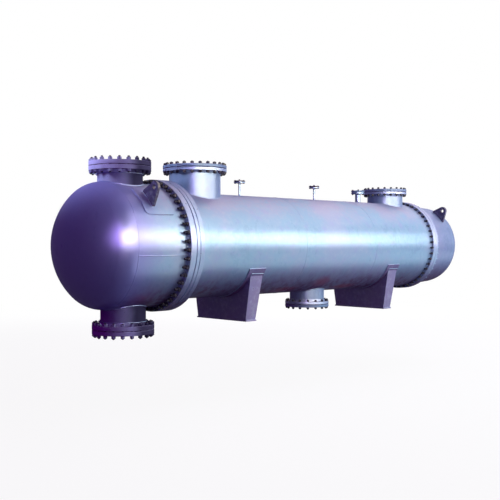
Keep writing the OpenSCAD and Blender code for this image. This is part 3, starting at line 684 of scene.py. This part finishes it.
saddle = {
    "wrapX": 0.130, "wrapHalf": 64.0, "wrapT": 0.012, "ribAngle": 58.0, "webX": -0.073, "ribX": 0.079,
    "ribTopX": 0.119, "baseT": 0.016, "footY": 0.434, "innerY": 0.147,
}
for name in ("front", "rear"):
    x = mounts[name + "_saddle_base"]["pos_m"][0]
    outer = shellR + saddle["wrapT"]
    low, high = 180 - saddle["wrapHalf"], 180 + saddle["wrapHalf"]
    wrapStart, wrapEnd = x - saddle["wrapX"], x + saddle["wrapX"]
    webX, baseT = x + saddle["webX"], saddle["baseT"]
    makeBeads(name + "WrapperBeads", [
        ringPath(wrapStart, shellR, low, high), ringPath(wrapEnd, shellR, low, high),
        longSeam(wrapStart, wrapEnd, low, shellR),
        longSeam(wrapStart, wrapEnd, high, shellR)], beads["plate"])
    paths = [ringPath(webX, outer, 180 - saddle["ribAngle"], 180 + saddle["ribAngle"])]
    for side in (-1, 1):
        paths.append(longSeam(webX, x + saddle["ribTopX"], 180 + side * saddle["ribAngle"], outer))
        for y in (side * saddle["footY"], side * saddle["innerY"]):
            paths.append(straight(Vector((webX, y, baseT)), Vector((x + saddle["ribX"], y, baseT))))
    paths.append(straight(Vector((webX, -saddle["footY"], baseT)), Vector((webX, saddle["footY"], baseT))))
    makeBeads(name + "SaddleBeads", paths, beads["plate"])
print("weld beads made")

lamps = {  # radiance is how bright a face is; its shine shows in reflections only, and a dull lamp in none
    "side": {
        "place": (4.5, -9.0, 3.2), "aim": (4.5, 0.0, 3.2), "size": (8.0, 4.4),
        "radiance": 3.85, "shine": 105.6, "colour": (0.92, 1.0, 0.98)},
    "sideRear": {
        "place": (16.0, -9.0, 3.0), "aim": (16.0, 0.0, 3.0), "size": (15.0, 4.0),
        "radiance": 3.1, "colour": (0.88, 1.0, 1.0)},
    "rearStreak": {
        "place": (13.25, -9.0, 3.2), "aim": (13.25, 0.0, 3.2), "size": (9.5, 4.4),
        "shine": 72.6, "colour": (0.88, 1.0, 1.0)},
    "sideHigh": {
        "place": (11.0, -8.4, 7.2), "aim": (11.0, 0.0, 2.0), "size": (22.0, 4.6),
        "radiance": 1.7, "shine": 114.4, "colour": (0.90, 0.97, 0.98)},
    "near": {
        "place": (-3.5, -9.0, 3.2), "aim": (-3.5, 0.0, 3.2), "size": (8.0, 4.4),
        "shine": 114.5, "colour": (0.92, 1.0, 0.98)},
    "nearEnd": {
        "place": (-10.0, -9.0, 4.2), "aim": (-10.0, 0.0, 4.2), "size": (5.0, 6.4),
        "shine": 88.0, "colour": (0.58, 0.42, 1.0)},
    "low": {
        "place": (5.5, -4.1, -0.75), "aim": (5.5, -4.1, 5.0), "size": (13.0, 5.0),
        "shine": 10.0, "colour": (0.74, 0.98, 1.0)},
    "above": {
        "place": (14.0, -0.5, 9.0), "aim": (14.0, -0.5, 0.0), "size": (18.0, 12.0),
        "radiance": 1.5, "shine": 35.2, "colour": (0.86, 0.95, 1.0)},
    "aboveLeft": {
        "place": (-2.0, 0.0, 9.0), "aim": (-2.0, 0.0, 0.0), "size": (10.0, 12.0),
        "radiance": 0.30, "colour": (0.80, 0.55, 1.0)},
    "far": {
        "place": (16.0, -3.0, 3.0), "aim": (3.0, 0.0, 0.9), "size": (12.0, 5.0),
        "radiance": 0.7, "colour": (0.90, 0.98, 1.0)},
    "behind": {
        "place": (8.0, 10.0, 1.6), "aim": (1.3, 0.0, 0.9), "size": (12.0, 3.0),
        "radiance": 3.0, "dull": True, "colour": (0.92, 0.98, 1.0)},
    "back": {
        "place": (14.0, 11.0, 4.5), "aim": (6.0, 0.0, 0.9), "size": (15.0, 7.0),
        "radiance": 0.9, "shine": 7.0, "colour": (1.0, 0.94, 1.0)},
}
nozzleSpot = {
    "place": (-6.5, 2.8, 4.2), "aim": (-1.54, -0.05, 1.80), "colour": (0.72, 0.75, 1.0),
    "power": 1950.0, "cone": 15.0, "blend": 1.0, "radius": 0.3,
}
studio = {
    "middleX": 1.3, "dim": rgb(0.48, 0.01, 0.62), "strength": 0.23, "white": rgb(1.0, 1.0, 1.0),
    "shineTint": (1.0, 0.78, 0.58),  # the paint's own blue is in its reflections
}


def hang(name, data, lamp):
    holder = bpy.data.objects.new(name, data)
    holder.location = lamp["place"]
    holder.rotation_mode = "QUATERNION"
    holder.rotation_quaternion = (Vector(lamp["aim"]) - Vector(lamp["place"])).to_track_quat("-Z", "Y")
    bpy.context.scene.collection.objects.link(holder)
    return holder


def makeLamp(name, lamp, radiance, tint=(1.0, 1.0, 1.0)):
    data = bpy.data.lights.new(name, "AREA")
    data.shape = "RECTANGLE"
    data.size, data.size_y = lamp["size"]
    data.energy = radiance * math.pi * lamp["size"][0] * lamp["size"][1]
    data.color = [part * share for part, share in zip(lamp["colour"], tint)]
    holder = hang(name, data, lamp)
    holder.visible_camera = False
    return holder


for name, lamp in lamps.items():
    if "radiance" in lamp:
        makeLamp(name, lamp, lamp["radiance"]).visible_glossy = not lamp.get("dull", False)
    if "shine" in lamp:
        makeLamp(name + "Shine", lamp, lamp["shine"], studio["shineTint"]).visible_diffuse = False

data = bpy.data.lights.new("nozzleSpot", "SPOT")
data.energy, data.color = nozzleSpot["power"], nozzleSpot["colour"]
data.spot_size, data.spot_blend = math.radians(nozzleSpot["cone"]), nozzleSpot["blend"]
data.shadow_soft_size = nozzleSpot["radius"]
hang("nozzleSpot", data, nozzleSpot).visible_glossy = False


def isSeen(sheet):  # 1 where a camera, glossy or transmission ray looks
    kinds = ("Is Camera Ray", "Is Glossy Ray", "Is Transmission Ray")
    camera, glossy, through = (sheet.node("LightPath", out=kind) for kind in kinds)
    return sheet.clamp(camera + glossy + through)


def whiteWhereSeen(sheet, kind):  # dim and tinted as soft light
    dim = sheet.node(kind, None, {"Color": studio["dim"], "Strength": studio["strength"]})
    white = sheet.node(kind, None, {"Color": studio["white"], "Strength": 1.0})
    return sheet.node("MixShader", None, {0: isSeen(sheet), 1: dim, 2: white})


world = bpy.data.worlds.new("studio")
bpy.context.scene.world = world
sky = Sheet("studio", world)
sky.node("OutputWorld", None, {"Surface": whiteWhereSeen(sky, "Background")})


def stagePiece(bm, name, sheet, shader):
    sheet.node("OutputMaterial", None, {"Surface": shader})
    mesh = bpy.data.meshes.new(name)
    bm.to_mesh(mesh)
    bm.free()
    mesh.materials.append(sheet.material)
    piece = bpy.data.objects.new(name, mesh)
    bpy.context.scene.collection.objects.link(piece)
    piece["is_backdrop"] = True


# a wall and its roof stand all round but for a gap
wall = {"radius": 17.0, "height": 15.0, "open": (17.0, 81.0), "segments": 72}
floorLook = {
    "below": 0.75, "size": 60.0, "far": rgb(0.34, 0.46, 0.60), "near": rgb(0.110, 0.012, 0.110),
    "side": (0.5, 2.4), "end": (-3.4, -0.6),  # where the far colour fades in, towards -Y and along X; the dark purple under and behind the vessel is painted shade for its underside
    "pale": 0.9, "shade": rgb(0.10, 0.10, 0.10), "shadowed": (6.0, 14.0),  # a faint shadow by the vessel
}
floorZ = cadBox[0].z - floorLook["below"]
bm = bmesh.new()
bmesh.ops.create_cone(
    bm, cap_ends=False, segments=wall["segments"], radius1=wall["radius"], radius2=wall["radius"],
    depth=wall["height"], matrix=Matrix.Translation((studio["middleX"], 0, floorZ + wall["height"] / 2)))
rim = [edge for edge in bm.edges if all(vert.co.z > floorZ + wall["height"] / 2 for vert in edge.verts)]
bmesh.ops.holes_fill(bm, edges=rim, sides=0)
gap = []
for face in bm.faces:
    centre = face.calc_center_median()
    angle = math.degrees(math.atan2(centre.y, centre.x - studio["middleX"]))
    if len(face.verts) == 4 and wall["open"][0] < angle < wall["open"][1]:
        gap.append(face)
bmesh.ops.delete(bm, geom=gap, context="FACES")
sheet = Sheet("darkWall")
stagePiece(bm, "studioWall", sheet, whiteWhereSeen(sheet, "Emission"))

bm = bmesh.new()
bmesh.ops.create_grid(
    bm, x_segments=1, y_segments=1, size=floorLook["size"],
    matrix=Matrix.Translation((studio["middleX"], 0, floorZ)))
sheet = Sheet("paleFloor")
place = sheet.place()
x, y = (sheet.part(place, axis) for axis in "XY")
# diffuse rays see a dark purple floor under and behind the vessel, painted shade for its underside, and a
# paler far colour out towards -Y
out = sheet.step(0.0 - y, *floorLook["side"]) * sheet.step(x, *floorLook["end"])
underShadeMatt = sheet.node("BsdfDiffuse", None, {"Color": sheet.blend(out, floorLook["near"], floorLook["far"])})
away = sheet.math("SQRT", (x - studio["middleX"]) ** 2.0 + y * y)
shade = sheet.node("BsdfDiffuse", None, {"Color": floorLook["shade"]})
dimmed = sheet.node("Emission", None, {"Color": studio["white"], "Strength": floorLook["pale"]})
shaded = sheet.node("AddShader", None, {0: shade, 1: dimmed})
glow = sheet.node("Emission", None, {"Color": studio["white"], "Strength": 1.0})
seen = sheet.node("MixShader", None, {0: sheet.step(away, *floorLook["shadowed"]), 1: shaded, 2: glow})
stagePiece(bm, "floor", sheet, sheet.node("MixShader", None, {0: isSeen(sheet), 1: underShadeMatt, 2: seen}))
print("lamps and floor placed")

low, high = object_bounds()
